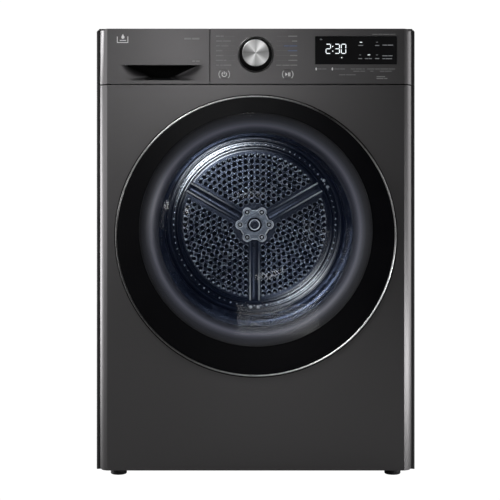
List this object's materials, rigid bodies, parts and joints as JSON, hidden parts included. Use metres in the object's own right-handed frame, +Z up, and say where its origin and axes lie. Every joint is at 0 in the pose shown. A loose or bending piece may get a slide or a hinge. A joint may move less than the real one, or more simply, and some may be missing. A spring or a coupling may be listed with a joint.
{
  "type": "clothes dryer",
  "caption": "Front-loading heat pump clothes dryer with a round glass door, a lifter drum, a programme dial, push buttons and a pull-out water tank.",
  "frame": {"origin": "on the floor, under the middle of the dryer with its door and its rear spigot included", "axes": "-Y is the front with the door, +X is to the right of a person who faces the door, +Z is up"},
  "size_m": [0.6, 0.69, 0.85],
  "materials": {
    "front_steel": "dark graphite, satin metallic",
    "side_steel": "dark graphite, satin",
    "top_board": "fine textured dark laminate",
    "graphite_plastic": "dark graphite, satin metallic lacquer",
    "zinc_steel": "zinc plated",
    "stainless": "satin stainless steel",
    "bright_trim": "polished",
    "dial_metal": "spun, polished rim",
    "aluminium": "satin",
    "copper": "copper pipe",
    "compressor_black": "black enamel",
    "black_gloss": "piano black",
    "black_plastic": "fine textured",
    "grey_plastic": "blue-grey, satin",
    "light_plastic": "light grey, satin",
    "circuit_board": "green circuit board",
    "rubber": "matte",
    "tinted_glass": "smoked, black printed border",
    "clear_glass": "clear moulded"
  },
  "bodies": {
    "cabinet": {"side_panel_left": "side_steel", "side_panel_right": "side_steel", "top_panel": "top_board", "front_panel": "front_steel", "base_pan": "black_plastic", "rear_panel": "zinc_steel", "rear_duct_cover": "zinc_steel", "power_inlet": "black_plastic", "drain_spigot": "grey_plastic", "control_panel": "graphite_plastic", "display_window": "black_gloss", "control_board": "circuit_board", "dial_bezel": "black_gloss", "tank_guide": "grey_plastic", "front_bulkhead": "grey_plastic", "door_seal": "rubber", "filter_duct": "black_plastic", "rear_bulkhead": "zinc_steel", "drum_bearing": "zinc_steel", "drive_belt": "rubber", "motor_housing": "zinc_steel", "fan_housing": "black_plastic", "compressor": "compressor_black", "evaporator": "aluminium", "condenser_coil": "aluminium", "refrigerant_pipe": "copper", "drain_pump": "black_plastic", "hinge_bracket": "zinc_steel", "hinge_pin": "stainless", "latch_catch": "black_plastic"},
    "door": {"door_frame": "black_gloss", "door_trim_ring": "bright_trim", "door_cover": "tinted_glass", "door_inner_frame": "grey_plastic", "door_bowl": "clear_glass", "hinge_leaf": "zinc_steel", "latch_hook": "light_plastic"},
    "drum": {"drum_shell": "stainless", "drum_rear_plate": "stainless", "drum_hub": "aluminium", "drum_spider": "aluminium", "lifter_1": "light_plastic", "lifter_2": "light_plastic", "lifter_3": "light_plastic"},
    "motor_rotor": {"motor_shaft": "zinc_steel", "fan_wheel": "light_plastic"},
    "tensioner": {"idler_arm": "zinc_steel"},
    "idler": {"idler_pulley": "light_plastic"},
    "roller_left": {"drum_roller_left": "black_plastic"},
    "roller_right": {"drum_roller_right": "black_plastic"},
    "water_tank": {"tank_front": "graphite_plastic", "tank_body": "light_plastic"},
    "dial": {"dial_knob": "dial_metal"},
    "power": {"power_button": "graphite_plastic"},
    "start": {"start_button": "graphite_plastic"},
    "filter": {"lint_filter": "grey_plastic"},
    "foot_1": {"foot_front_left": "rubber"},
    "foot_2": {"foot_front_right": "rubber"},
    "foot_3": {"foot_rear_left": "rubber"},
    "foot_4": {"foot_rear_right": "rubber"}
  },
  "joints": [
    {"name": "door_hinge", "type": "hinge", "parent": "cabinet", "child": "door", "pos_m": [0.2474, -0.333, 0.456], "axis": [0, 0, 1], "range_deg": [0, 140]},
    {"name": "drum_spin", "type": "hinge", "parent": "cabinet", "child": "drum", "pos_m": [0, 0.262, 0.49], "axis": [0, 1, 0], "continuous": true},
    {"name": "motor_spin", "type": "hinge", "parent": "cabinet", "child": "motor_rotor", "pos_m": [0.165, 0.13, 0.13], "axis": [0, 1, 0], "continuous": true},
    {"name": "tensioner_swing", "type": "hinge", "parent": "cabinet", "child": "tensioner", "pos_m": [0.108, 0.042, 0.142], "axis": [0, 1, 0], "range_deg": [0, 8], "stiffness_Nm_per_rad": 4, "springref_deg": -11.46},
    {"name": "idler_spin", "type": "hinge", "parent": "tensioner", "child": "idler", "pos_m": [0.04, 0.029, 0.165], "axis": [0, 1, 0], "continuous": true},
    {"name": "roller_left_spin", "type": "hinge", "parent": "cabinet", "child": "roller_left", "pos_m": [-0.17494, -0.201, 0.24016], "axis": [0, 1, 0], "continuous": true},
    {"name": "roller_right_spin", "type": "hinge", "parent": "cabinet", "child": "roller_right", "pos_m": [0.17494, -0.201, 0.24016], "axis": [0, 1, 0], "continuous": true},
    {"name": "tank_slide", "type": "slide", "parent": "cabinet", "child": "water_tank", "axis": [0, -1, 0], "range_m": [0, 0.45]},
    {"name": "dial_turn", "type": "hinge", "parent": "cabinet", "child": "dial", "pos_m": [0, -0.31, 0.7995], "axis": [0, 1, 0], "continuous": true},
    {"name": "power_press", "type": "slide", "parent": "cabinet", "child": "power", "axis": [0, 1, 0], "range_m": [0, 0.0015], "stiffness_N_per_m": 400},
    {"name": "start_press", "type": "slide", "parent": "cabinet", "child": "start", "axis": [0, 1, 0], "range_m": [0, 0.0015], "stiffness_N_per_m": 400},
    {"name": "filter_lift", "type": "slide", "parent": "cabinet", "child": "filter", "axis": [0, 0, 1], "range_m": [0, 0.022]},
    {"name": "foot_1_level", "type": "slide", "parent": "cabinet", "child": "foot_1", "axis": [0, 0, -1], "range_m": [0, 0.012]},
    {"name": "foot_2_level", "type": "slide", "parent": "cabinet", "child": "foot_2", "axis": [0, 0, -1], "range_m": [0, 0.012]},
    {"name": "foot_3_level", "type": "slide", "parent": "cabinet", "child": "foot_3", "axis": [0, 0, -1], "range_m": [0, 0.012]},
    {"name": "foot_4_level", "type": "slide", "parent": "cabinet", "child": "foot_4", "axis": [0, 0, -1], "range_m": [0, 0.012]}
  ],
  "couplings": [
    {"joint": "motor_spin", "follows": "drum_spin", "ratio": 20.85},
    {"joint": "idler_spin", "follows": "drum_spin", "ratio": 14.5},
    {"joint": "roller_left_spin", "follows": "drum_spin", "ratio": -14.2},
    {"joint": "roller_right_spin", "follows": "drum_spin", "ratio": -14.2}
  ]
}
